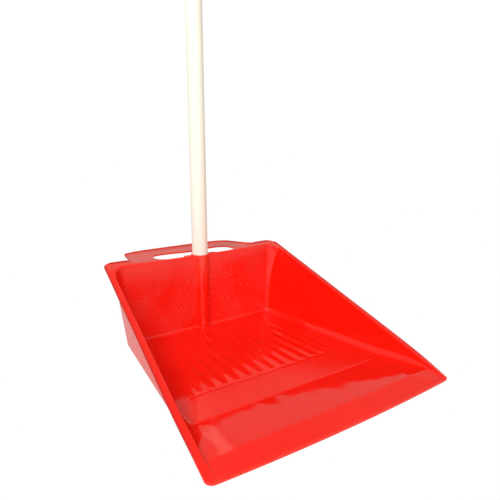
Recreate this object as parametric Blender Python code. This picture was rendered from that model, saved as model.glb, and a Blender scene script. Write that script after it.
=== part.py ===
"""Long-handled dust pan: a one-piece moulded pan and a pole that pushes into its socket.

Units are metres, +Z is up.  The pan rests on Z = 0, its lip faces -Y and the pole stands
near its rear wall.  Distances called `back` are measured rearward from the front lip.
"""
import bpy
import bmesh
from math import cos, pi, radians, sin, sqrt
from mathutils import Matrix, Vector

# ---- pan: driving dimensions -------------------------------------------------------------
WALL = 0.0020            # moulded wall thickness
DEPTH = 0.3846           # front lip to the rear edge of the hand grip
HEIGHT = 0.1095          # inner edge of the rear rim above the ground
RIM_FRONT_HALF = 0.1610  # half width over the rim at the lip, before it draws in
RIM_REAR_HALF = 0.1359   # half width over the rim at the rear edge
RIM_WIDTH = 0.0077       # side rim, outer edge to inner edge
RIM_NIP = 0.0030         # the rim draws in this much toward the lip
NIP_BACK = 0.0900        # and starts to draw in here
RIM_DROP = 0.0022        # the side rim falls this much to its outer edge
BASE_FRONT_HALF = 0.1518
BASE_REAR_HALF = 0.1161
BACK_WALL_TOP = 0.2970   # inner face of the rear wall at the rim
BACK_WALL_FOOT = 0.2962  # inner face of the rear wall at the floor
FLANGE_BACK = 0.3150     # rear edge of the rear flange
FLANGE_SLOPE = -0.0411   # the flange and grip fall this much per metre rearward
FLANGE_LIFT = 0.0034     # the flange's rear edge stands higher beside the grip
LIP_HEIGHT = 0.0020      # upper face of the lip
LIP_BOW = 0.0047         # the lip is curved forward at its middle
LIP_CORNER = 0.0070      # plan radius of the lip's corners
LIP_MELT = 0.0300        # length over which the rim's crest sinks into the lip
LIP_REACH = 0.0400       # the lip's curve fades out this far back
CORNER_TOP = 0.0170      # plan radii of the rear corners
CORNER_FOOT = 0.0120
CORNER_RIM = 0.0120

# ---- pan floor: flat rear part, ramp up to a sill, strip down to the lip -------------------
FLOOR = WALL
RAMP_BACK = 0.0828
SILL_BACK = 0.0223
SILL_HEIGHT = 0.0080
SILL_HALF = 0.1137
RAMP_HALF = 0.1280
SIDE_FILLET = 0.0090
BACK_FILLET = 0.0040
PANEL_BACK = 0.1265      # the raised panel ends here, and the ribs start
PANEL_REAR_HALF = 0.1070
PANEL_RISE = 0.0008
RIB_COUNT = 13
RIB_PITCH = 0.0166       # at the ribs' front ends; they close up rearward with the side walls
RIB_HALF = 0.0042
RIB_RISE = 0.0011
RIB_START = 0.1325
RIB_END = 0.2820

# ---- hand grip -----------------------------------------------------------------------------
GRIP_FOOT_HALF = 0.1000
GRIP_TIP_HALF = 0.0840
GRIP_BOW = 0.0090        # the grip's rear edge curves forward this much at its corners
SLOT_HALF = 0.0625
SLOT_FRONT = 0.2990
SLOT_REAR = 0.3400
SLOT_RADIUS = 0.0165
SLOT_WAVE = 0.0070       # the slot's rear edge bulges forward this much behind the pole
WAVE_HALF = 0.0400
BRIDGE_HALF = 0.0240     # flange left standing round the socket, inside the slot
BRIDGE_BACK = 0.3050

# ---- socket and pole -----------------------------------------------------------------------
POLE_BACK = 0.3025
POLE_R = 0.0110
GAP = 0.0003
SOCKET_R = 0.0126
SOCKET_FOOT_R = 0.0116
BORE_R = POLE_R + GAP
BORE_FOOT_R = 0.0103
BORE_FLOOR = 0.0060
TAPER_TOP = 0.0620       # socket and foot plug narrow below this height
POLE_TOP = 0.7900
SLEEVE_WALL = 0.0006
TUBE_R = POLE_R - SLEEVE_WALL - GAP
TUBE_WALL = 0.0005
PLUG_NECK = 0.0250       # how far the foot plug reaches up inside the tube
PLUG_FOOT_R = 0.0099
CAP_WALL = 0.0014
CAP_LENGTH = 0.0300
CAP_TIP = 0.0480         # eye tongue above the pole's end
TONGUE_HALF = 0.0036
EYE_R = 0.0060
ROUND = 48

MIDDLE = (DEPTH - LIP_BOW) / 2


def at(x, back, z):
    """A point of the part from its distance behind the lip."""
    return Vector((x, back - MIDDLE, z))


def blend(a, b, t):
    return a + (b - a) * t


# ---- mesh helpers --------------------------------------------------------------------------
def material(name, colour, roughness, metallic=0.0):
    made = bpy.data.materials.new(name)
    made.use_nodes = True
    shader = made.node_tree.nodes["Principled BSDF"]
    shader.inputs["Base Color"].default_value = (*colour, 1.0)
    shader.inputs["Roughness"].default_value = roughness
    shader.inputs["Metallic"].default_value = metallic
    return made


def add_object(name, mesh, skin=None):
    made = bpy.data.objects.new(name, mesh)
    bpy.context.scene.collection.objects.link(made)
    if skin:
        mesh.materials.append(skin)
    return made


def mesh_from(bm, name, smooth=None):
    bmesh.ops.recalc_face_normals(bm, faces=bm.faces)
    mesh = bpy.data.meshes.new(name)
    bm.to_mesh(mesh)
    bm.free()
    if smooth:
        mesh.shade_smooth()
        mesh.set_sharp_from_angle(angle=radians(smooth))
    return mesh


def turned(name, profile, x=0.0, back=MIDDLE):
    """A closed solid of revolution about a vertical axis from (radius, height) points.

    A profile that starts and ends on the axis makes a solid one, any other a ring.
    """
    bm = bmesh.new()
    rings = []
    for radius, height in profile:
        if radius == 0:
            rings.append([bm.verts.new(at(x, back, height))])
            continue
        ring = []
        for step in range(ROUND):
            turn = 2 * pi * step / ROUND
            ring.append(bm.verts.new(at(x + radius * cos(turn), back + radius * sin(turn), height)))
        rings.append(ring)
    solid = len(rings[0]) == 1
    pairs = list(zip(rings, rings[1:])) + ([] if solid else [(rings[-1], rings[0])])
    for low, high in pairs:
        for step in range(ROUND):
            after = (step + 1) % ROUND
            corners = [low[step % len(low)], low[after % len(low)],
                       high[after % len(high)], high[step % len(high)]]
            bm.faces.new(list(dict.fromkeys(corners)))
    return mesh_from(bm, name, smooth=35)


def prism(name, outline, low, high):
    """A plan outline of (x, back) points between two heights."""
    bm = bmesh.new()
    rows = [[bm.verts.new(at(x, back, z)) for x, back in outline] for z in (low, high)]
    bm.faces.new(rows[0])
    bm.faces.new(rows[1])
    count = len(outline)
    for i in range(count):
        j = (i + 1) % count
        bm.faces.new((rows[0][i], rows[0][j], rows[1][j], rows[1][i]))
    return mesh_from(bm, name)


def tool(name, mesh):
    """A hidden object that a Boolean uses."""
    made = add_object(name, mesh)
    made.hide_render = True
    made.display_type = "WIRE"
    return made


def boolean(target, operand, operation):
    modifier = target.modifiers.new(operand.name, "BOOLEAN")
    modifier.solver = "EXACT"
    modifier.operation = operation
    modifier.object = operand


# ---- pan surface: rules for its lines, as functions of the distance behind the lip ---------
def rim_half(back):
    nip = RIM_NIP * max(1 - back / NIP_BACK, 0) ** 2
    return blend(RIM_FRONT_HALF, RIM_REAR_HALF, back / FLANGE_BACK) - nip


def base_half(back):
    return blend(BASE_FRONT_HALF, BASE_REAR_HALF, back / BACK_WALL_FOOT)


def rim_height(back):
    return blend(2 * LIP_HEIGHT, HEIGHT, back / BACK_WALL_TOP)


def floor_height(back):
    if back >= RAMP_BACK:
        return FLOOR
    if back >= SILL_BACK:
        return blend(SILL_HEIGHT, FLOOR, (back - SILL_BACK) / (RAMP_BACK - SILL_BACK))
    return blend(LIP_HEIGHT, SILL_HEIGHT, max(back, 0) / SILL_BACK)


def floor_half(back):
    """Where the flat floor meets the rounding or the corner facet of the side wall."""
    if back >= RAMP_BACK:
        t = min((back - RAMP_BACK) / (PANEL_BACK - RAMP_BACK), 1)
        return blend(base_half(back) - SIDE_FILLET, RAMP_HALF, (1 - t) ** 2)
    if back >= SILL_BACK:
        return blend(SILL_HALF, RAMP_HALF, (back - SILL_BACK) / (RAMP_BACK - SILL_BACK))
    return blend(BASE_FRONT_HALF - 0.006, SILL_HALF, back / SILL_BACK)


def flange_height(x, back):
    """The upper face of the rear flange and hand grip."""
    behind = back - BACK_WALL_TOP
    lift = FLANGE_LIFT * min(max((abs(x) - 0.085) / 0.020, 0), 1)
    return HEIGHT + behind * FLANGE_SLOPE + lift * min(behind / (FLANGE_BACK - BACK_WALL_TOP), 1)


def lip_line(x):
    """The front edge in plan: a bow with rounded ends."""
    half = rim_half(0)
    bow = -LIP_BOW * (1 - (x / half) ** 2)
    over = abs(x) - (half - LIP_CORNER)
    if over <= 0:
        return bow
    return bow + LIP_CORNER - sqrt(max(LIP_CORNER ** 2 - over ** 2, 0))


def place(p):
    """Bend the straight front edge to the lip's line, less and less further back."""
    fade = max(1 - p.y / LIP_REACH, 0)
    return at(p.x, p.y + lip_line(p.x) * fade, p.z)


def rounded_section(outer, top, foot, floor_edge, wall_part, steps=4):
    """Outer rim edge, inner rim edge, wall and rounding, ending before the floor's edge."""
    low = blend(foot, top, wall_part)
    points = [outer, top]
    for step in range(steps):
        t = step / steps
        points.append(low * (1 - t) ** 2 + foot * 2 * t * (1 - t) + floor_edge * t ** 2)
    return points


def side_section(back):
    """The left wall's section at a distance behind the lip, and its floor edge."""
    half = floor_half(back)
    level = floor_height(back)
    melt = max(1 - back / LIP_MELT, 0) ** 2
    outer = Vector((-rim_half(back), back, rim_height(back) - RIM_DROP))
    top = Vector((-rim_half(back) + RIM_WIDTH, back, rim_height(back) - melt * LIP_HEIGHT * 0.9))
    foot_half = blend(base_half(back), rim_half(back) - RIM_WIDTH - 0.004, melt)
    foot = Vector((-foot_half, back, blend(blend(FLOOR, level, 0.35), level, melt)))
    floor_edge = Vector((-half, back, level))
    wall_part = min(SIDE_FILLET / max(rim_height(back), SIDE_FILLET), 0.45)
    return rounded_section(outer, top, foot, floor_edge, wall_part), floor_edge


def corner_section(turn):
    """The rear left corner's section: turn runs from 0 at the side to 90 degrees."""
    part = turn / (pi / 2)

    def arc(half, back_line, radius, height):
        return Vector((-(half - radius + radius * cos(turn)),
                       back_line - radius + radius * sin(turn), height))

    fillet = blend(SIDE_FILLET, BACK_FILLET, part)
    flange = flange_height(RIM_REAR_HALF, FLANGE_BACK)
    outer = arc(rim_half(FLANGE_BACK - CORNER_RIM), FLANGE_BACK, CORNER_RIM,
                blend(rim_height(FLANGE_BACK - CORNER_RIM) - RIM_DROP, flange, part))
    top = arc(rim_half(BACK_WALL_TOP) - RIM_WIDTH, BACK_WALL_TOP, CORNER_TOP, HEIGHT)
    top.z = rim_height(top.y)
    foot = arc(base_half(BACK_WALL_FOOT), BACK_WALL_FOOT, CORNER_FOOT, FLOOR)
    inset = arc(base_half(BACK_WALL_FOOT) - SIDE_FILLET, BACK_WALL_FOOT - BACK_FILLET,
                CORNER_FOOT, FLOOR)
    return rounded_section(outer, top, foot, inset, fillet / HEIGHT), inset


def grip_edge(x):
    """How far the rear flange reaches back at x: the grip is a tongue with S-shaped ends."""
    t = (GRIP_FOOT_HALF - abs(x)) / (GRIP_FOOT_HALF - GRIP_TIP_HALF)
    t = min(max(t, 0), 1)
    tip = DEPTH - GRIP_BOW * min(abs(x) / GRIP_TIP_HALF, 1) ** 6
    return blend(FLANGE_BACK, tip, t * t * (3 - 2 * t))


def thicken(bm):
    """Give the open upper sheet its wall, downward and outward, but never below the ground."""
    bm.normal_update()
    if sum(face.normal.z * face.calc_area() for face in bm.faces) < 0:
        bmesh.ops.reverse_faces(bm, faces=bm.faces)
        bm.normal_update()
    upper = list(bm.verts)
    faces = list(bm.faces)
    borders = [edge for edge in bm.edges if edge.is_boundary]
    lower = {}
    for v in upper:
        p = v.co - v.normal * WALL * min(v.calc_shell_factor(), 1.4)
        lower[v] = bm.verts.new((p.x, p.y, max(p.z, 0)))
    for edge in borders:
        a, b = edge.link_loops[0].vert, edge.link_loops[0].link_loop_next.vert
        bm.faces.new((b, a, lower[a], lower[b]))
    for face in faces:
        bm.faces.new([lower[v] for v in reversed(face.verts)])


def pan_shell():
    """The moulded pan without its socket, slot and ribs."""
    corner_steps = 6
    side_backs = [0, 0.012, SILL_BACK, 0.042, 0.060, RAMP_BACK, 0.095, 0.110, PANEL_BACK,
                  0.17, 0.22, 0.26, 0.276]
    sections = [side_section(back) for back in side_backs]
    sections += [corner_section(pi / 2 * i / corner_steps) for i in range(corner_steps + 1)]
    last = sections[-1][0]
    rear_half = -last[0].x
    grip_steps = [blend(GRIP_FOOT_HALF, GRIP_TIP_HALF, i / 5) for i in range(6)]
    marks = [rear_half, 0.5 * (rear_half + GRIP_FOOT_HALF), *grip_steps, 0.055, 0.025]
    columns = [x / rear_half for x in [-m for m in marks] + [0] + marks[::-1]]

    bm = bmesh.new()

    def vert(p):
        return bm.verts.new(place(p))

    floor_rows = []
    for points, edge in sections:
        row = []
        for column in columns:
            row.append(vert(Vector((-edge.x * column, edge.y, edge.z))))
        floor_rows.append(row)
    left = [[vert(p) for p in points] for points, edge in sections]
    right = [[vert(Vector((-p.x, p.y, p.z))) for p in points] for points, edge in sections]

    rear = [left[-1]]
    for column in columns[1:-1]:
        strip = []
        for order, p in enumerate(last):
            x = column * -p.x
            if order == 0:
                back = grip_edge(x)
                strip.append(vert(Vector((x, back, flange_height(x, back)))))
            else:
                strip.append(vert(Vector((x, p.y, p.z))))
        rear.append(strip)
    rear.append(right[-1])

    def bridge(rows):
        for row, following in zip(rows, rows[1:]):
            for a, b, c, d in zip(row, row[1:], following[1:], following):
                bm.faces.new((a, b, c, d))

    bridge(floor_rows)
    bridge([points + [row[0]] for points, row in zip(left, floor_rows)])
    bridge([points + [row[-1]] for points, row in zip(right, floor_rows)])
    bridge([points + [foot] for points, foot in zip(rear, floor_rows[-1])])
    bmesh.ops.recalc_face_normals(bm, faces=bm.faces)
    thicken(bm)
    return mesh_from(bm, "pan")


def slot_outline():
    """The hand slot in plan, with the bridge round the socket left standing."""
    points = []
    for centre_x, centre_back, start in ((SLOT_HALF - SLOT_RADIUS, SLOT_REAR - SLOT_RADIUS, 0),
                                         (-SLOT_HALF + SLOT_RADIUS, SLOT_REAR - SLOT_RADIUS, 90),
                                         (-SLOT_HALF + SLOT_RADIUS, SLOT_FRONT + SLOT_RADIUS, 180),
                                         (SLOT_HALF - SLOT_RADIUS, SLOT_FRONT + SLOT_RADIUS, 270)):
        if start == 270:
            points += [(-BRIDGE_HALF, SLOT_FRONT), (-BRIDGE_HALF, BRIDGE_BACK),
                       (BRIDGE_HALF, BRIDGE_BACK), (BRIDGE_HALF, SLOT_FRONT)]
        if start == 90:
            for step in range(-8, 9):
                x = -step * WAVE_HALF / 8
                dent = SLOT_WAVE * (0.5 + 0.5 * cos(pi * x / WAVE_HALF))
                points.append((x, SLOT_REAR - dent))
        for step in range(7):
            turn = radians(start + 15 * step)
            points.append((centre_x + SLOT_RADIUS * cos(turn), centre_back + SLOT_RADIUS * sin(turn)))
    return points


def rib_bars():
    """Low rounded ribs on the rear floor that close up rearward as the side walls do."""
    bm = bmesh.new()
    profile = [(-RIB_HALF, -0.0005), (-RIB_HALF, 0.0002), (-RIB_HALF * 0.5, RIB_RISE * 0.8),
               (0, RIB_RISE), (RIB_HALF * 0.5, RIB_RISE * 0.8), (RIB_HALF, 0.0002),
               (RIB_HALF, -0.0005)]
    for number in range(RIB_COUNT):
        centre = (number - (RIB_COUNT - 1) / 2) * RIB_PITCH
        ends = []
        for back in (RIB_START, RIB_END):
            spread = base_half(back) / base_half(RIB_START)
            ends.append([bm.verts.new(at((centre + x) * spread, back, FLOOR + z))
                         for x, z in profile])
        bm.faces.new(ends[0])
        bm.faces.new(ends[1])
        for i in range(len(profile)):
            j = (i + 1) % len(profile)
            bm.faces.new((ends[0][i], ends[0][j], ends[1][j], ends[1][i]))
    return mesh_from(bm, "ribs")


def make_pan(skin):
    pan = add_object("pan", pan_shell(), skin)
    slot = prism("slot_cutter", slot_outline(), HEIGHT - 0.006, HEIGHT + 0.010)
    boolean(pan, tool("slot_cutter", slot), "DIFFERENCE")
    column_top = flange_height(0, POLE_BACK) + 0.0004
    column = turned("socket_column", [(0, 0.0008), (SOCKET_FOOT_R, 0.0008), (SOCKET_R, TAPER_TOP),
                                      (SOCKET_R, column_top), (0, column_top)], back=POLE_BACK)
    boolean(pan, tool("socket_column", column), "UNION")
    panel = prism("panel_plate", [(-RAMP_HALF + 0.0006, RAMP_BACK + 0.0004),
                                  (RAMP_HALF - 0.0006, RAMP_BACK + 0.0004),
                                  (PANEL_REAR_HALF, PANEL_BACK), (-PANEL_REAR_HALF, PANEL_BACK)],
                  FLOOR - 0.0006, FLOOR + PANEL_RISE)
    boolean(pan, tool("panel_plate", panel), "UNION")
    boolean(pan, tool("rib_bars", rib_bars()), "UNION")
    bore = turned("socket_bore", [(0, BORE_FLOOR), (BORE_FOOT_R, BORE_FLOOR), (BORE_R, TAPER_TOP),
                                  (BORE_R, column_top + 0.01), (0, column_top + 0.01)],
                  back=POLE_BACK)
    boolean(pan, tool("socket_bore", bore), "DIFFERENCE")
    return pan


# ---- pole ----------------------------------------------------------------------------------
def make_pole(film, steel, plastic):
    """Sleeved tube, tapered foot plug and hanging cap, all on the socket's axis."""
    sleeve = turned("pole_sleeve", [(POLE_R, TAPER_TOP), (POLE_R, POLE_TOP - 0.001),
                                    (POLE_R - SLEEVE_WALL, POLE_TOP - 0.001),
                                    (POLE_R - SLEEVE_WALL, TAPER_TOP)], back=POLE_BACK)
    add_object("pole_sleeve", sleeve, film)
    tube = turned("pole_tube", [(TUBE_R, TAPER_TOP), (TUBE_R, POLE_TOP),
                                (TUBE_R - TUBE_WALL, POLE_TOP),
                                (TUBE_R - TUBE_WALL, TAPER_TOP)], back=POLE_BACK)
    add_object("pole_tube", tube, steel)

    neck_r = TUBE_R - TUBE_WALL - GAP
    shoulder = TAPER_TOP - GAP
    foot = BORE_FLOOR + GAP
    plug = turned("pole_foot_plug", [(0, foot), (PLUG_FOOT_R - 0.0015, foot),
                                     (PLUG_FOOT_R, foot + 0.0015), (POLE_R - 0.0001, shoulder),
                                     (neck_r, shoulder), (neck_r, shoulder + PLUG_NECK - 0.002),
                                     (neck_r - 0.0015, shoulder + PLUG_NECK),
                                     (0, shoulder + PLUG_NECK)], back=POLE_BACK)
    add_object("pole_foot_plug", plug, plastic)
    make_cap(plastic)


def make_cap(skin):
    """A cup over the pole's top end with a flat tongue and a hanging eye."""
    bottom = POLE_TOP - CAP_LENGTH
    outer = POLE_R + GAP + CAP_WALL
    shoulder = POLE_TOP + 0.004
    cap = turned("hanger_cap", [(0, bottom), (outer, bottom), (outer, shoulder - 0.003),
                                (outer - 0.003, shoulder), (0, shoulder)], back=POLE_BACK)
    cap = add_object("hanger_cap", cap, skin)

    centre = POLE_TOP + CAP_TIP - outer
    outline = [(-outer + 0.0015, shoulder - 0.004), (outer - 0.0015, shoulder - 0.004)]
    outline += [((outer - 0.0015) * cos(radians(a)), centre + (outer - 0.0015) * sin(radians(a)))
                for a in range(0, 181, 12)]
    bm = bmesh.new()
    faces = [[bm.verts.new(at(x, POLE_BACK + side * TONGUE_HALF, z)) for x, z in outline]
             for side in (-1, 1)]
    bm.faces.new(faces[0])
    bm.faces.new(faces[1])
    count = len(outline)
    for i in range(count):
        j = (i + 1) % count
        bm.faces.new((faces[0][i], faces[0][j], faces[1][j], faces[1][i]))
    boolean(cap, tool("cap_tongue", mesh_from(bm, "cap_tongue")), "UNION")

    eye = bpy.data.meshes.new("cap_eye")
    bm = bmesh.new()
    place = Matrix.Translation(at(0, POLE_BACK, centre)) @ Matrix.Rotation(pi / 2, 4, "X")
    bmesh.ops.create_cone(bm, cap_ends=True, segments=32, radius1=EYE_R, radius2=EYE_R,
                          depth=0.02, matrix=place)
    bm.to_mesh(eye)
    bm.free()
    boolean(cap, tool("cap_eye", eye), "DIFFERENCE")
    cup = turned("cap_bore", [(0, bottom - 0.01), (POLE_R + GAP, bottom - 0.01),
                              (POLE_R + GAP, POLE_TOP + GAP), (0, POLE_TOP + GAP)], back=POLE_BACK)
    boolean(cap, tool("cap_bore", cup), "DIFFERENCE")
    return cap


def main():
    for old in list(bpy.data.objects):
        bpy.data.objects.remove(old)
    red = material("pan_plastic", (0.83, 0.012, 0.006), 0.22)
    cream = material("pole_film", (0.90, 0.87, 0.76), 0.35)
    steel = material("pole_steel", (0.55, 0.55, 0.56), 0.35, 1.0)
    fitting = material("fitting_plastic", (0.78, 0.012, 0.008), 0.4)
    make_pan(red)
    make_pole(cream, steel, fitting)


main()
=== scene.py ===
"""Looks of the long-handled dust pan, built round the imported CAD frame."""
from math import cos, pi, radians, sin, sqrt

import bmesh
import bpy
from mathutils import Matrix, Vector, noise


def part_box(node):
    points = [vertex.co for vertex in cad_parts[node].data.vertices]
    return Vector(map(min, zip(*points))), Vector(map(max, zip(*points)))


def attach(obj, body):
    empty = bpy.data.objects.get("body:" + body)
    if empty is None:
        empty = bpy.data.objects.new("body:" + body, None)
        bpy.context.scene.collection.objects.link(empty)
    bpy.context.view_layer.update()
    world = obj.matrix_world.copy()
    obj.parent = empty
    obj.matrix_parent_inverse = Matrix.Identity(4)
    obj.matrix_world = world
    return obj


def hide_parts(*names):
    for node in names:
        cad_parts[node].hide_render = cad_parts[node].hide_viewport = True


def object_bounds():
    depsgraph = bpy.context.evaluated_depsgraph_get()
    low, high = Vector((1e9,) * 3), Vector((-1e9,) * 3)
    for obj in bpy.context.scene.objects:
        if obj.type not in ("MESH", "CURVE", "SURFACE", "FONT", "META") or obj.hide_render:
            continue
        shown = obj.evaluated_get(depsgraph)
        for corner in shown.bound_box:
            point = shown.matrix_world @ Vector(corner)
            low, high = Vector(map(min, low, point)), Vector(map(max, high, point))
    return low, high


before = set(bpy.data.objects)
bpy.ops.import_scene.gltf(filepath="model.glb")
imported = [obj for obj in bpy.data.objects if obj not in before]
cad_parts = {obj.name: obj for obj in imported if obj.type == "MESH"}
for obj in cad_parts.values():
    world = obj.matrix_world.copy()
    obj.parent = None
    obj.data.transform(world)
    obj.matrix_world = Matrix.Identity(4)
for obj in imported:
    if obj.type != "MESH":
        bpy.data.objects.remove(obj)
cad_box = [list(corner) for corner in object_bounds()]

# ---- the frame's own measures ----------------------------------------------------------------
PAN_LOW, PAN_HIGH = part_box("pan")
SLEEVE_LOW, SLEEVE_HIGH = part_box("pole_sleeve")
PLUG_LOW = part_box("pole_foot_plug")[0]
POLE_Y = (SLEEVE_LOW.y + SLEEVE_HIGH.y) / 2
POLE_R = (SLEEVE_HIGH.x - SLEEVE_LOW.x) / 2

# ---- pan: distances called `back` are measured rearward from the lip's corners -----------------
LIP_BOW = 0.0047
LIP_Y = PAN_LOW.y + LIP_BOW
RIM_NIP = 0.0030         # the rim draws in this much toward the lip
NIP_BACK = 0.0900
RIM_FRONT_HALF = PAN_HIGH.x + RIM_NIP
WALL = 0.0020
BORDER = 0.0012          # width of the low bead along the rim's outer edge
BORDER_START = 0.0500    # the bead is full size this far behind the lip
BEAD = 0.0010            # how far the flange sinks inside the bead
DEPTH = 0.3846
HEIGHT = 0.1095
RIM_REAR_HALF = 0.1359
RIM_WIDTH = 0.0077
RIM_DROP = 0.0022
FOLD = 0.0026            # the rim turns outward over this length each side of its edge
BASE_FRONT_HALF = 0.1518
BASE_REAR_HALF = 0.1161
BACK_WALL_TOP = 0.2970
BACK_WALL_FOOT = 0.2962
FLANGE_BACK = 0.3150
FLANGE_SLOPE = -0.0411
FLANGE_LIFT = 0.0034
LIP_HEIGHT = 0.0020
LIP_CORNER = 0.0070
LIP_MELT = 0.0300         # the rim's crest sinks into the lip over this length
LIP_REACH = 0.0400
CORNER_TOP = 0.0170
CORNER_FOOT = 0.0120
CORNER_RIM = 0.0120
FLOOR = WALL
RAMP_BACK = 0.0828
SILL_BACK = 0.0223
SILL_HEIGHT = 0.0080
SILL_HALF = 0.1137
RAMP_HALF = 0.1280
SIDE_FILLET = 0.0090
BACK_FILLET = 0.0040
RAMP_UNEVEN = 0.00014    # moulding unevenness of the ramp and the panel
UNEVEN_ACROSS = 0.015    # length of its waves
UNEVEN_ALONG = 0.026
PANEL_BACK = 0.1265
PANEL_REAR_HALF = 0.1070
PANEL_RISE = 0.0008
RIB_PITCH = 0.0166
RIB_RISE = 0.0010
RIB_START = 0.1295
RIB_END = 0.2820
RIB_EDGE_HALF = 0.1000
GRIP_FOOT_HALF = 0.1000
GRIP_TIP_HALF = 0.0840
GRIP_BOW = 0.0090        # the grip's rear edge curves forward this much at its corners
SLOT_HALF = 0.0625
SLOT_FRONT = 0.2990
SLOT_REAR = 0.3400
SLOT_RADIUS = 0.0165
SLOT_WAVE = 0.0070
WAVE_HALF = 0.0400
BRIDGE_HALF = 0.0240
BRIDGE_BACK = 0.3050
POLE_BACK = POLE_Y - LIP_Y
GAP = 0.0003
SOCKET_R = 0.0126
SOCKET_FOOT_R = 0.0116
COLUMN_LOW = 0.0008      # the column starts inside the pan's floor
COLUMN_PROUD = 0.0004    # and stands this far above the flange
BORE_FOOT_R = 0.0103
BORE_FLOOR = PLUG_LOW.z - GAP
TAPER_TOP = SLEEVE_LOW.z
SLOT_CUT = 0.006         # the slot's cutter reaches this far below the rim
CLEAR = 0.010            # cutters reach this far past the top surface
FINE = 0.0007            # spacing of the pan's rows where its shape changes
BEND = 0.003             # the fine rows reach this far each side of a bend
RIB_TURN = 0.005         # and this far into the ribs from their ends
SHELL_LIMIT = 1.4        # keeps the lower skin from shooting out at tight bends

# ---- camera --------------------------------------------------------------------------------
CAMERA_AT = Vector((-0.3146, -0.4815, 0.2709))
CAMERA_TURN = -33.99     # degrees round the part, 0 looks along +Y
CAMERA_TILT = 13.15      # degrees above the horizon
CAMERA_ROLL = -0.09
CAMERA_LENS = 34.72      # mm on a 36 mm sensor


def at(x, back, z):
    return Vector((x, LIP_Y + back, z))


def blend(a, b, t):
    return a + (b - a) * t


def smooth(t):
    t = min(max(t, 0.0), 1.0)
    return t * t * (3 - 2 * t)


def soft_min(a, b, width):
    near = max(width - abs(a - b), 0) / width
    return min(a, b) - near * near * width / 4


def rounded(a, corner, b, t):
    """A point of the arc from a to b that is tangent to both legs at the corner."""
    weight = cos((corner - a).angle(b - corner) / 2)
    start, middle, end = (1 - t) ** 2, 2 * weight * t * (1 - t), t * t
    return (a * start + corner * middle + b * end) / (start + middle + end)


# ---- colours and light -----------------------------------------------------------------------
RED_DEEP = (0.85, 0.0074, 0.0022)
RED_BRIGHT = (0.93, 0.0092, 0.0028)
RED_RUBBED = (0.95, 0.16, 0.10)
# painted shade: a dark line along the rim's outer edge, laid into the base colour
RED_PAINTED_RIM_SHADE = (0.58, 0.006, 0.003)
FITTING_DEEP = (0.78, 0.009, 0.004)
FITTING_BRIGHT = (0.84, 0.011, 0.005)
DUST = (0.80, 0.30, 0.24)
DUST_Y = (0.03, 0.09)    # the dust grows between these places
# a lighter film on the rear wall: dust, and partly a painted sheen, a soft reflection laid into the
# colour
HAZE_AND_PAINTED_SHEEN = (0.80, 0.050, 0.036)
REAR_WALL_Y = (0.102, 0.1055)
CREAM_DEEP = (0.93, 0.92, 0.81)
CREAM_BRIGHT = (0.96, 0.95, 0.85)
STEEL_DEEP = (0.45, 0.45, 0.47)
STEEL_BRIGHT = (0.6, 0.6, 0.61)
FLOOR_GREY = (0.8, 0.8, 0.8, 1)
ROOM_TINT = (1, 0.96, 0.84, 1)
BACKDROP = 1.05          # brightness of the background as the camera sees it
ROOM = 0.50              # brightness of the surroundings that light and reflect
KEY = 28                 # watts
KEY_SIZE = 0.8
FILL = 12                # watts
FILL_SIZE = 1.2


# ---- materials -------------------------------------------------------------------------------
class Nodes:
    """Short calls for building one material's node tree."""

    def __init__(self, name):
        self.material = bpy.data.materials.new(name)
        self.material.use_nodes = True
        self.tree = self.material.node_tree
        self.shader = self.tree.nodes["Principled BSDF"]
        self.place = self.add("ShaderNodeTexCoord").outputs["Object"]

    def add(self, kind, **values):
        node = self.tree.nodes.new(kind)
        for key, value in values.items():
            setattr(node, key, value)
        return node

    def link(self, source, target):
        self.tree.links.new(source, target)

    def noise(self, scale, detail=3.0, stretch=(1, 1, 1), rough=0.5):
        mapping = self.add("ShaderNodeMapping")
        mapping.inputs["Scale"].default_value = stretch
        self.link(self.place, mapping.inputs["Vector"])
        node = self.add("ShaderNodeTexNoise")
        node.inputs["Scale"].default_value = scale
        node.inputs["Detail"].default_value = detail
        node.inputs["Roughness"].default_value = rough
        self.link(mapping.outputs["Vector"], node.inputs["Vector"])
        return node.outputs["Fac"]

    def span(self, source, low, high, from_low=0.3, from_high=0.7):
        node = self.add("ShaderNodeMapRange")
        node.inputs["From Min"].default_value = from_low
        node.inputs["From Max"].default_value = from_high
        node.inputs["To Min"].default_value = low
        node.inputs["To Max"].default_value = high
        self.link(source, node.inputs["Value"])
        return node.outputs["Result"]

    def axis(self, name):
        node = self.add("ShaderNodeSeparateXYZ")
        self.link(self.place, node.inputs[0])
        return node.outputs[name]

    def attribute(self, name):
        return self.add("ShaderNodeAttribute", attribute_name=name).outputs["Fac"]

    def mix(self, factor, first, second):
        node = self.add("ShaderNodeMix", data_type="RGBA")
        for slot, colour in ((node.inputs[6], first), (node.inputs[7], second)):
            if isinstance(colour, tuple):
                slot.default_value = (*colour, 1)
            else:
                self.link(colour, slot)
        self.link(factor, node.inputs["Factor"])
        return node.outputs[2]

    def math(self, operation, first, second):
        node = self.add("ShaderNodeMath", operation=operation)
        self.link(first, node.inputs[0])
        self.link(second, node.inputs[1])
        return node.outputs[0]

    def times(self, first, second):
        return self.math("MULTIPLY", first, second)

    def plus(self, first, second):
        return self.math("ADD", first, second)

    def bump(self, height, strength, distance, normal=None):
        node = self.add("ShaderNodeBump")
        node.inputs["Strength"].default_value = strength
        node.inputs["Distance"].default_value = distance
        self.link(height, node.inputs["Height"])
        if normal is not None:
            self.link(normal, node.inputs["Normal"])
        return node.outputs["Normal"]

    def set(self, **values):
        for key, value in values.items():
            self.shader.inputs[key.replace("_", " ")].default_value = value


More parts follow.
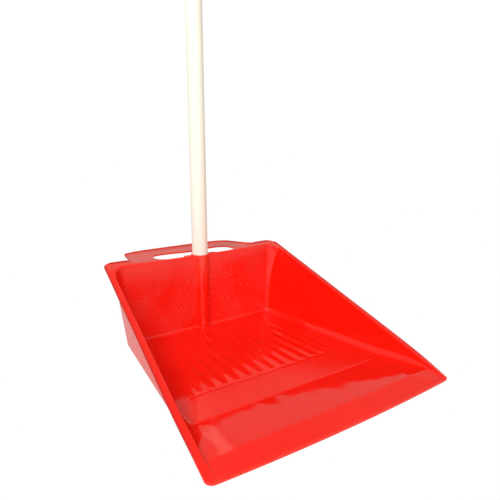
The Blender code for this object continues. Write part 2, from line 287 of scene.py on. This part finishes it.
def red_gloss():
    """Glossy red moulding: rubbed edges, rear dust, a lighter rear-wall film that is dust and
    painted sheen, painted shade in a duller strip along the rim's outer edge, and a satin panel.
    """
    n = Nodes("pan_gloss")
    cloud = n.noise(9, 3)
    base = n.mix(n.span(cloud, 0, 1), RED_DEEP, RED_BRIGHT)
    edge = n.add("ShaderNodeNewGeometry").outputs["Pointiness"]
    rubbed = n.times(n.span(edge, 0, 0.30, 0.52, 0.62), n.span(n.noise(180, 4), 0.3, 1))
    base = n.mix(rubbed, base, RED_RUBBED)
    dust = n.times(n.span(n.noise(420, 3, rough=0.6), 0, 1, 0.60, 0.72),
                   n.span(n.noise(14, 2), 0, 0.5, 0.40, 0.66))
    dust = n.times(dust, n.span(n.axis("Y"), 0.12, 1, *DUST_Y))
    base = n.mix(dust, base, DUST)
    rear_wall = n.span(n.axis("Y"), 0, 1, *REAR_WALL_Y)
    # lighter patches on the rear wall: a dust film and partly painted sheen
    haze_and_painted_sheen = n.times(rear_wall, n.span(n.noise(22, 4), 0.0, 0.35, 0.40, 0.65))
    base = n.mix(haze_and_painted_sheen, base, HAZE_AND_PAINTED_SHEEN)
    # painted shade: the rim's outer edge is darkened in the base colour, and also made rougher
    painted_rim_shade = n.attribute("painted_rim_shade")
    base = n.mix(painted_rim_shade, base, RED_PAINTED_RIM_SHADE)
    n.link(base, n.shader.inputs["Base Color"])
    scuff = n.noise(60, 5, (1, 0.25, 1))
    rough = n.plus(n.span(scuff, 0.050, 0.085), n.span(dust, 0, 0.25, 0, 0.35))
    rough = n.plus(rough, n.span(painted_rim_shade, 0, 0.40, 0, 1))
    rough = n.plus(rough, n.plus(n.span(rear_wall, 0, 0.10, 0, 1), n.span(haze_and_painted_sheen, 0, 0.25, 0, 1)))
    satin = n.span(n.attribute("panel"), 0, 0.16, 0, 1)
    n.link(n.plus(rough, satin), n.shader.inputs["Roughness"])
    swell = n.bump(n.noise(24, 2.5), 0.45, 0.0005)
    n.link(n.bump(n.noise(900, 2), 0.02, 0.0001, swell), n.shader.inputs["Normal"])
    n.set(IOR=1.49)
    return n.material


def cream_film():
    n = Nodes("pole_film_gloss")
    streak = n.noise(30, 4, (1, 1, 0.05))
    n.link(n.mix(n.span(streak, 0, 1), CREAM_DEEP, CREAM_BRIGHT), n.shader.inputs["Base Color"])
    n.link(n.span(n.noise(80, 4, (1, 1, 0.1)), 0.28, 0.40), n.shader.inputs["Roughness"])
    n.link(n.bump(n.noise(140, 3, (1, 1, 0.15)), 0.08, 0.0002), n.shader.inputs["Normal"])
    return n.material


def bare_steel():
    n = Nodes("tube_steel")
    n.set(Metallic=1.0)
    streak = n.noise(120, 3, (1, 1, 0.05))
    n.link(n.mix(n.span(streak, 0, 1), STEEL_DEEP, STEEL_BRIGHT), n.shader.inputs["Base Color"])
    n.link(n.span(n.noise(200, 3, (1, 1, 0.05)), 0.3, 0.45), n.shader.inputs["Roughness"])
    return n.material


def red_satin():
    n = Nodes("fitting_satin")
    cloud = n.noise(40, 3)
    n.link(n.mix(n.span(cloud, 0, 1), FITTING_DEEP, FITTING_BRIGHT), n.shader.inputs["Base Color"])
    n.link(n.span(n.noise(150, 3), 0.34, 0.46), n.shader.inputs["Roughness"])
    n.link(n.bump(n.noise(1500, 2), 0.06, 0.0001), n.shader.inputs["Normal"])
    return n.material


# ---- mesh helpers ------------------------------------------------------------------------------
def piece(name, mesh, skin, sharp=35):
    made = bpy.data.objects.new(name, mesh)
    bpy.context.scene.collection.objects.link(made)
    if skin:
        mesh.materials.append(skin)
    mesh.shade_smooth()
    mesh.set_sharp_from_angle(angle=radians(sharp))
    return made


def mesh_from(bm, name):
    mesh = bpy.data.meshes.new(name)
    bm.to_mesh(mesh)
    bm.free()
    return mesh


def turned(name, profile, segments=96):
    """A solid of revolution about the pole's axis from (radius, height) points."""
    bm = bmesh.new()
    rings = []
    for radius, height in profile:
        if radius == 0:
            rings.append([bm.verts.new((0, POLE_Y, height))])
            continue
        rings.append([bm.verts.new((radius * cos(2 * pi * i / segments),
                                    POLE_Y + radius * sin(2 * pi * i / segments), height))
                      for i in range(segments)])
    solid = len(rings[0]) == 1
    pairs = list(zip(rings, rings[1:])) + ([] if solid else [(rings[-1], rings[0])])
    for low, high in pairs:
        for i in range(segments):
            j = (i + 1) % segments
            corners = [low[i % len(low)], low[j % len(low)],
                       high[j % len(high)], high[i % len(high)]]
            bm.faces.new(list(dict.fromkeys(corners)))
    bmesh.ops.recalc_face_normals(bm, faces=bm.faces)
    return mesh_from(bm, name)


def prism(name, outline, low, high):
    bm = bmesh.new()
    rows = [[bm.verts.new(at(x, back, z)) for x, back in outline] for z in (low, high)]
    bm.faces.new(rows[0])
    bm.faces.new(rows[1])
    for i in range(len(outline)):
        j = (i + 1) % len(outline)
        bm.faces.new((rows[0][i], rows[0][j], rows[1][j], rows[1][i]))
    bmesh.ops.recalc_face_normals(bm, faces=bm.faces)
    return mesh_from(bm, name)


def apply_boolean(target, mesh, operation):
    tool = bpy.data.objects.new("tool", mesh)
    bpy.context.scene.collection.objects.link(tool)
    modifier = target.modifiers.new("cut", "BOOLEAN")
    modifier.solver = "MANIFOLD"
    modifier.operation = operation
    modifier.object = tool
    apply_modifiers(target)
    bpy.data.objects.remove(tool)


def apply_modifiers(target):
    graph = bpy.context.evaluated_depsgraph_get()
    baked = bpy.data.meshes.new_from_object(target.evaluated_get(graph))
    target.modifiers.clear()
    old = target.data
    target.data = baked
    bpy.data.meshes.remove(old)


# ---- the pan's rules ---------------------------------------------------------------------------
def rim_half(back):
    nip = RIM_NIP * max(1 - back / NIP_BACK, 0) ** 2
    return blend(RIM_FRONT_HALF, RIM_REAR_HALF, back / FLANGE_BACK) - nip


def base_half(back):
    return blend(BASE_FRONT_HALF, BASE_REAR_HALF, back / BACK_WALL_FOOT)


def rim_height(back):
    return blend(2 * LIP_HEIGHT, HEIGHT, back / BACK_WALL_TOP)


def floor_height(back):
    strip = blend(LIP_HEIGHT, SILL_HEIGHT, back / SILL_BACK)
    ramp = blend(SILL_HEIGHT, FLOOR, (back - SILL_BACK) / (RAMP_BACK - SILL_BACK))
    return -soft_min(-soft_min(strip, ramp, 0.0005), -FLOOR, 0.0002)


def floor_half(back):
    if back >= RAMP_BACK:
        t = min((back - RAMP_BACK) / (PANEL_BACK - RAMP_BACK), 1)
        return blend(base_half(back) - SIDE_FILLET, RAMP_HALF, (1 - t) ** 2)
    if back >= SILL_BACK:
        return blend(SILL_HALF, RAMP_HALF, (back - SILL_BACK) / (RAMP_BACK - SILL_BACK))
    return blend(BASE_FRONT_HALF - 0.006, SILL_HALF, back / SILL_BACK)


def inside_panel(x, back):
    """How far a floor point lies inside the raised panel's outline."""
    half = blend(RAMP_HALF, PANEL_REAR_HALF, (back - RAMP_BACK) / (PANEL_BACK - RAMP_BACK))
    return min(PANEL_BACK - back, back - RAMP_BACK + 0.001, half - abs(x))


def floor_detail(x, back):
    """The raised panel and the ribs on the flat floor."""
    rise = PANEL_RISE * smooth(inside_panel(x, back) / 0.0014)
    wave = noise.noise(Vector((x / UNEVEN_ACROSS, back / UNEVEN_ALONG, 0.4)))
    uneven = wave * smooth(back / 0.02)
    rise += RAMP_UNEVEN * uneven * smooth((PANEL_BACK - back) / 0.02)
    spread = base_half(back) / base_half(RIB_START)
    rib = 0.5 + 0.5 * cos(2 * pi * x / (RIB_PITCH * spread))
    fade = (smooth((back - RIB_START) / 0.004) * smooth((RIB_END - back) / 0.004)
            * smooth((RIB_EDGE_HALF * spread - abs(x)) / 0.003))
    return rise + RIB_RISE * rib * fade


def flange_height(x, back):
    """The flange slopes down to the rear, and lifts a little at its outer ends."""
    behind = back - BACK_WALL_TOP
    lift = FLANGE_LIFT * smooth((abs(x) - 0.085) / 0.020)
    return HEIGHT + behind * FLANGE_SLOPE + lift * smooth(behind / (FLANGE_BACK - BACK_WALL_TOP))


def lip_line(x):
    half = rim_half(0)
    bow = -LIP_BOW * (1 - (x / half) ** 2)
    over = abs(x) - (half - LIP_CORNER)
    if over <= 0:
        return bow
    return bow + LIP_CORNER - sqrt(max(LIP_CORNER ** 2 - over ** 2, 0))


def place(p):
    """Bow the front of the pan to its lip line."""
    fade = max(1 - p.y / LIP_REACH, 0)
    return at(p.x, p.y + lip_line(p.x) * fade, p.z)


def section(outer, top, foot, floor_edge, wall_part):
    """Points from the outer rim edge over the rounded rim, down the wall and its rounding."""
    drop = (foot - top).length
    fold = min(FOLD, 0.4 * drop)
    flange_end = top + (outer - top).normalized() * fold
    wall_start = top + (foot - top).normalized() * fold
    low = blend(foot, top, wall_part)
    across = (flange_end - outer).normalized()
    bead = Vector((0, 0, BEAD * smooth(outer.y / BORDER_START)))
    inside = outer + across * BORDER
    points = [outer, blend(outer, inside, 0.5), inside - bead]
    points += [blend(inside - bead, flange_end, t / 3) for t in (1, 2)]
    points += [rounded(flange_end, top, wall_start, t / 6) for t in range(6)]
    points += [blend(wall_start, low, t / 8) for t in range(8)]
    points += [rounded(low, foot, floor_edge, t / 8) for t in range(8)]
    return points


def side_section(back):
    """The left wall's section at one place, and the floor's edge there."""
    half = floor_half(back)
    level = floor_height(back)
    melt = max(1 - back / LIP_MELT, 0) ** 2
    outer = Vector((-rim_half(back), back, rim_height(back) - RIM_DROP))
    top = Vector((-rim_half(back) + RIM_WIDTH, back, rim_height(back) - melt * LIP_HEIGHT * 0.9))
    foot_half = blend(base_half(back), rim_half(back) - RIM_WIDTH - 0.004, melt)
    foot = Vector((-foot_half, back, blend(blend(FLOOR, level, 0.35), level, melt)))
    wall_part = min(SIDE_FILLET / max(rim_height(back), SIDE_FILLET), 0.45)
    floor_edge = Vector((-half, back, level))
    return section(outer, top, foot, floor_edge, wall_part), floor_edge


def corner_arc(turn, half, back_line, radius, height):
    return Vector((-(half - radius + radius * cos(turn)),
                   back_line - radius + radius * sin(turn), height))


def corner_top(turn):
    p = corner_arc(turn, rim_half(BACK_WALL_TOP) - RIM_WIDTH, BACK_WALL_TOP, CORNER_TOP, HEIGHT)
    p.z = rim_height(p.y)
    return p


def corner_foot(turn):
    return corner_arc(turn, base_half(BACK_WALL_FOOT), BACK_WALL_FOOT, CORNER_FOOT, FLOOR)


def corner_section(turn):
    """The rear-left corner's section, turned from the side wall at 0 to the rear wall."""
    part = turn / (pi / 2)
    fillet = blend(SIDE_FILLET, BACK_FILLET, part)
    flange = flange_height(RIM_REAR_HALF, FLANGE_BACK)
    outer = corner_arc(turn, rim_half(FLANGE_BACK - CORNER_RIM), FLANGE_BACK, CORNER_RIM,
                       blend(rim_height(FLANGE_BACK - CORNER_RIM) - RIM_DROP, flange, part))
    inset = corner_arc(turn, base_half(BACK_WALL_FOOT) - SIDE_FILLET,
                       BACK_WALL_FOOT - BACK_FILLET, CORNER_FOOT, FLOOR)
    return section(outer, corner_top(turn), corner_foot(turn), inset, fillet / HEIGHT), inset


def grip_edge(x):
    """How far back the flange reaches: over the grip in the middle, short at the sides."""
    t = (GRIP_FOOT_HALF - abs(x)) / (GRIP_FOOT_HALF - GRIP_TIP_HALF)
    tip = DEPTH - GRIP_BOW * min(abs(x) / GRIP_TIP_HALF, 1) ** 6
    return blend(FLANGE_BACK, tip, smooth(t))


def steps(low, high, spacing):
    count = max(1, round((high - low) / spacing))
    return [blend(low, high, i / count) for i in range(count)]


def thicken(bm):
    """Give the upper skin a lower one, straight below it near its edges."""
    bm.normal_update()
    if sum(face.normal.z * face.calc_area() for face in bm.faces) < 0:
        bmesh.ops.reverse_faces(bm, faces=bm.faces)
        bm.normal_update()
    upper = list(bm.verts)
    faces = list(bm.faces)
    borders = [edge for edge in bm.edges if edge.is_boundary]
    near_edge = {v for v in upper if v.is_boundary}
    for ring in range(2):
        near_edge |= {edge.other_vert(v) for v in near_edge for edge in v.link_edges}
    lower = {}
    for v in upper:
        up = v.normal * min(v.calc_shell_factor(), SHELL_LIMIT)
        if v in near_edge:
            up = Vector((0, 0, 1))
        p = v.co - up * WALL
        lower[v] = bm.verts.new((p.x, p.y, max(p.z, 0)))
    for edge in borders:
        a, b = edge.link_loops[0].vert, edge.link_loops[0].link_loop_next.vert
        bm.faces.new((b, a, lower[a], lower[b]))
    for face in faces:
        bm.faces.new([lower[v] for v in reversed(face.verts)])


def row_backs():
    """Where the pan's rows lie, close together wherever its shape changes."""
    bounds = (0, SILL_BACK - BEND, SILL_BACK + BEND, RAMP_BACK - BEND, RAMP_BACK + BEND,
              PANEL_BACK - BEND, RIB_START + RIB_TURN, RIB_END - RIB_TURN,
              BACK_WALL_TOP - CORNER_TOP - 0.0005)
    spacings = (0.003, 0.001, 0.005, FINE, 0.003, FINE, 0.008, FINE)
    return [back for low, high, spacing in zip(bounds, bounds[1:], spacings)
            for back in steps(low, high, spacing)]


def floor_xs(half, rear_half):
    """Places across the floor: even over the ribs, then spread out to the floor's edge."""
    step = RIB_PITCH / 12
    count = int((rear_half - 0.002) / step)
    middle = [i * step for i in range(-count, count + 1)]
    side = [blend(middle[-1], half, i / 14) for i in range(1, 15)]
    return [-x for x in reversed(side)] + middle + side


def rear_strips(xs, rim_rear_half, inset):
    """The rear's sections, from the flange or grip down the rear wall to the floor."""
    top_half = -corner_top(pi / 2).x
    foot_half = -corner_foot(pi / 2).x
    strips = []
    for x in xs:
        ratio = x / -inset.x
        edge_x = ratio * rim_rear_half
        edge_back = grip_edge(edge_x)
        outer = Vector((edge_x, edge_back, flange_height(edge_x, edge_back)))
        top = Vector((ratio * top_half, BACK_WALL_TOP, HEIGHT))
        foot = Vector((ratio * foot_half, BACK_WALL_FOOT, FLOOR))
        floor_edge = Vector((x, inset.y, inset.z))
        strips.append(section(outer, top, foot, floor_edge, BACK_FILLET / HEIGHT))
    return strips


def bridge(bm, rows):
    """Fill between neighbouring rows of vertices with quads."""
    for row, following in zip(rows, rows[1:]):
        for a, b, c, d in zip(row, row[1:], following[1:], following):
            bm.faces.new((a, b, c, d))


def pan_shell():
    """The pan as one upper skin, mirrored left to right, and then thickened."""
    sections = [side_section(back) for back in row_backs()]
    sections += [corner_section(pi / 2 * i / 12) for i in range(13)]
    last_points, inset = sections[-1]

    bm = bmesh.new()
    floor_rows = []
    for points, edge in sections:
        row = []
        for x in floor_xs(-edge.x, -inset.x):
            height = floor_height(edge.y) + floor_detail(x, edge.y)
            row.append(bm.verts.new(place(Vector((x, edge.y, height)))))
        floor_rows.append(row)
    left = [[bm.verts.new(place(p)) for p in points] for points, edge in sections]
    right = [[bm.verts.new(place(Vector((-p.x, p.y, p.z)))) for p in points]
             for points, edge in sections]
    strips = rear_strips(floor_xs(-inset.x, -inset.x)[1:-1], -last_points[0].x, inset)
    rear = [[bm.verts.new(place(p)) for p in strip] for strip in strips]
    rear = [left[-1]] + rear + [right[-1]]

    bridge(bm, floor_rows)
    bridge(bm, [points + [row[0]] for points, row in zip(left, floor_rows)])
    bridge(bm, [points + [row[-1]] for points, row in zip(right, floor_rows)])
    bridge(bm, [points + [foot] for points, foot in zip(rear, floor_rows[-1])])
    bmesh.ops.recalc_face_normals(bm, faces=bm.faces)
    thicken(bm)
    return mesh_from(bm, "pan")


def slot_outline():
    """The hand slot: a rounded oblong with a bulged rear edge and a notch for the bridge."""
    points = []
    centre, rear, front = SLOT_HALF - SLOT_RADIUS, SLOT_REAR - SLOT_RADIUS, SLOT_FRONT + SLOT_RADIUS
    for centre_x, centre_back, start in ((centre, rear, 0), (-centre, rear, 90),
                                         (-centre, front, 180), (centre, front, 270)):
        if start == 270:
            points += [(-BRIDGE_HALF, SLOT_FRONT), (-BRIDGE_HALF, BRIDGE_BACK),
                       (BRIDGE_HALF, BRIDGE_BACK), (BRIDGE_HALF, SLOT_FRONT)]
        if start == 90:
            for step in range(-16, 17):
                x = -step * WAVE_HALF / 16
                wave = 0.5 + 0.5 * cos(pi * x / WAVE_HALF)
                points.append((x, SLOT_REAR - SLOT_WAVE * wave))
        for step in range(19):
            turn = radians(start + 5 * step)
            points.append((centre_x + SLOT_RADIUS * cos(turn),
                           centre_back + SLOT_RADIUS * sin(turn)))
    return points


def mark_finishes(pan):
    """Store where the duller rim edge with its painted shade and the satin panel lie, for the pan's
    material.
    """
    panel = pan.data.attributes.new("panel", "FLOAT", "POINT")
    painted_rim_shade = pan.data.attributes.new("painted_rim_shade", "FLOAT", "POINT")
    for vertex in pan.data.vertices:
        back = vertex.co.y - LIP_Y
        gap = min(rim_half(back) - abs(vertex.co.x), grip_edge(vertex.co.x) - back)
        # the strip along the rim's outer edge that carries the painted shade
        edge = smooth((BORDER * 1.1 - gap) / (BORDER * 0.2)) * smooth(back / BORDER_START)
        painted_rim_shade.data[vertex.index].value = edge
        inside = inside_panel(vertex.co.x, back)
        upper = FLOOR < vertex.co.z < FLOOR + 2 * PANEL_RISE
        panel.data[vertex.index].value = smooth(inside / 0.0010) if upper else 0.0


def make_pan(skin):
    pan = piece("pan_moulding", pan_shell(), skin)
    slot = prism("slot", slot_outline(), HEIGHT - SLOT_CUT, HEIGHT + CLEAR)
    apply_boolean(pan, slot, "DIFFERENCE")
    column_top = flange_height(0, POLE_BACK) + COLUMN_PROUD
    column = turned("column", [(0, COLUMN_LOW), (SOCKET_FOOT_R, COLUMN_LOW),
                               (SOCKET_R, TAPER_TOP), (SOCKET_R, column_top), (0, column_top)])
    apply_boolean(pan, column, "UNION")
    bore_r = POLE_R + GAP
    bore_top = column_top + CLEAR
    bore = turned("bore", [(0, BORE_FLOOR), (BORE_FOOT_R, BORE_FLOOR), (bore_r, TAPER_TOP),
                           (bore_r, bore_top), (0, bore_top)])
    apply_boolean(pan, bore, "DIFFERENCE")
    pan.data.shade_smooth()
    pan.data.set_sharp_from_angle(angle=radians(35))
    mark_finishes(pan)
    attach(pan, "pan")
    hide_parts("pan")
    return pan


# ---- pole --------------------------------------------------------------------------------------
def finish_pole(film, steel, satin):
    for node, skin in (("pole_sleeve", film), ("pole_tube", steel), ("pole_foot_plug", satin),
                       ("hanger_cap", satin)):
        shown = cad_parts[node]
        shown.data.materials.clear()
        shown.data.materials.append(skin)


# ---- stage, light and camera -------------------------------------------------------------------
def make_floor():
    bm = bmesh.new()
    bmesh.ops.create_grid(bm, x_segments=1, y_segments=1, size=30)
    floor = bpy.data.objects.new("floor", mesh_from(bm, "floor"))
    floor.location.z = cad_box[0][2] - 0.0002
    bpy.context.scene.collection.objects.link(floor)
    skin = bpy.data.materials.new("floor_white")
    skin.use_nodes = True
    tree = skin.node_tree
    shader = tree.nodes["Principled BSDF"]
    shader.inputs["Base Color"].default_value = FLOOR_GREY
    shader.inputs["Roughness"].default_value = 0.9
    path = tree.nodes.new("ShaderNodeLightPath")
    seen = tree.nodes.new("ShaderNodeEmission")
    mix = tree.nodes.new("ShaderNodeMixShader")
    tree.links.new(path.outputs["Is Camera Ray"], mix.inputs["Fac"])
    tree.links.new(shader.outputs["BSDF"], mix.inputs[1])
    tree.links.new(seen.outputs["Emission"], mix.inputs[2])
    tree.links.new(mix.outputs["Shader"], tree.nodes["Material Output"].inputs["Surface"])
    floor.data.materials.append(skin)


def area_light(name, spot, target, size, power):
    data = bpy.data.lights.new(name, "AREA")
    data.shape = "DISK"
    data.size = size
    data.energy = power
    lamp = bpy.data.objects.new(name, data)
    lamp.location = spot
    lamp.rotation_euler = (Vector(target) - Vector(spot)).to_track_quat("-Z", "Y").to_euler()
    bpy.context.scene.collection.objects.link(lamp)


def make_light():
    world = bpy.data.worlds.new("studio")
    bpy.context.scene.world = world
    world.use_nodes = True
    tree = world.node_tree
    tree.nodes.clear()
    path = tree.nodes.new("ShaderNodeLightPath")
    seen = tree.nodes.new("ShaderNodeBackground")
    seen.inputs["Strength"].default_value = BACKDROP
    seen.inputs["Color"].default_value = (1, 1, 1, 1)
    room = tree.nodes.new("ShaderNodeBackground")
    room.inputs["Strength"].default_value = ROOM
    room.inputs["Color"].default_value = ROOM_TINT
    mix = tree.nodes.new("ShaderNodeMixShader")
    out = tree.nodes.new("ShaderNodeOutputWorld")
    tree.links.new(path.outputs["Is Camera Ray"], mix.inputs["Fac"])
    tree.links.new(room.outputs["Background"], mix.inputs[1])
    tree.links.new(seen.outputs["Background"], mix.inputs[2])
    tree.links.new(mix.outputs["Shader"], out.inputs["Surface"])
    area_light("key", (-1.4, -0.75, 1.75), (0, 0, 0.05), KEY_SIZE, KEY)
    area_light("fill", (-0.5, -1.8, 1.0), (0, 0, 0.1), FILL_SIZE, FILL)


def make_camera():
    turn, tilt, roll = radians(CAMERA_TURN), radians(CAMERA_TILT), radians(CAMERA_ROLL)
    back = Vector((sin(turn) * cos(tilt), -cos(turn) * cos(tilt), sin(tilt)))
    right = Vector((cos(turn), sin(turn), 0))
    up = back.cross(right)
    right, up = right * cos(roll) + up * sin(roll), up * cos(roll) - right * sin(roll)
    data = bpy.data.cameras.new("camera")
    data.lens = CAMERA_LENS
    data.sensor_width = 36
    data.clip_start = 0.01
    camera = bpy.data.objects.new("camera", data)
    axes = Matrix((right, up, back)).transposed().to_4x4()
    camera.matrix_world = Matrix.Translation(CAMERA_AT) @ axes
    bpy.context.scene.collection.objects.link(camera)
    bpy.context.scene.camera = camera


bpy.context.scene.view_settings.view_transform = "Standard"
make_pan(red_gloss())
finish_pole(cream_film(), bare_steel(), red_satin())
make_floor()
make_light()
make_camera()
